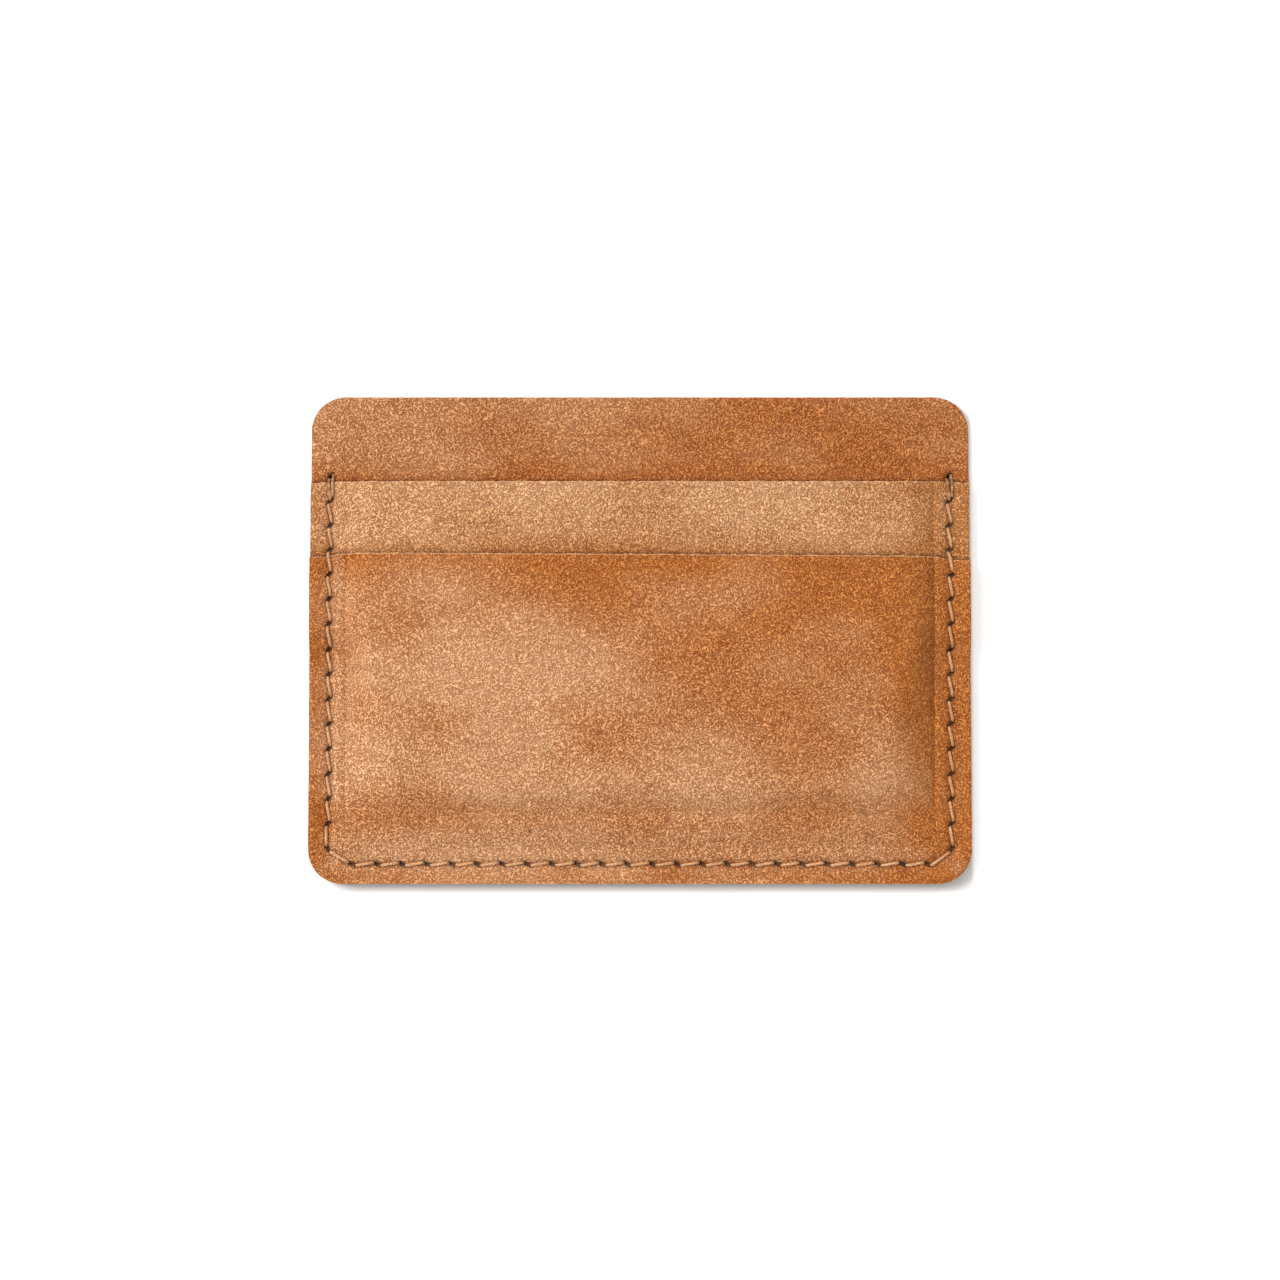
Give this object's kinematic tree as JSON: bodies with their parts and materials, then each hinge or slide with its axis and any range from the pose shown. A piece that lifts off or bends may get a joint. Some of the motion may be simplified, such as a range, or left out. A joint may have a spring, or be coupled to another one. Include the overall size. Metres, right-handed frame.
{
  "type": "card holder",
  "caption": "Slim leather card holder with a full-height back panel, a T-shaped middle pocket and a front pocket, cemented and saddle-stitched round three sides.",
  "frame": {"origin": "middle of the outline on the rear face of the back panel, which lies on the surface below", "axes": "+X to the right along the pocket mouths, +Y from the stitched bottom edge to the open pocket mouths, +Z out of the front pocket's face"},
  "size_m": [0.1, 0.074, 0.0055],
  "materials": {
    "back_leather": "matte vegetable-tanned leather with a scuffed fibrous grain, the reddest of the three",
    "t_pocket_leather": "matte vegetable-tanned leather with a scuffed fibrous grain, light and golden",
    "front_leather": "matte vegetable-tanned leather with a scuffed fibrous grain, mid caramel",
    "thread": "waxed twisted thread, satin",
    "cement": "dried contact cement, dull"
  },
  "bodies": {
    "root": {"back_panel": "back_leather", "t_pocket": "t_pocket_leather", "front_pocket": "front_leather", "ear_glue": "cement", "base_glue": "cement", "front_glue": "cement", "seam_thread": "thread", "base_thread": "thread"}
  },
  "joints": []
}
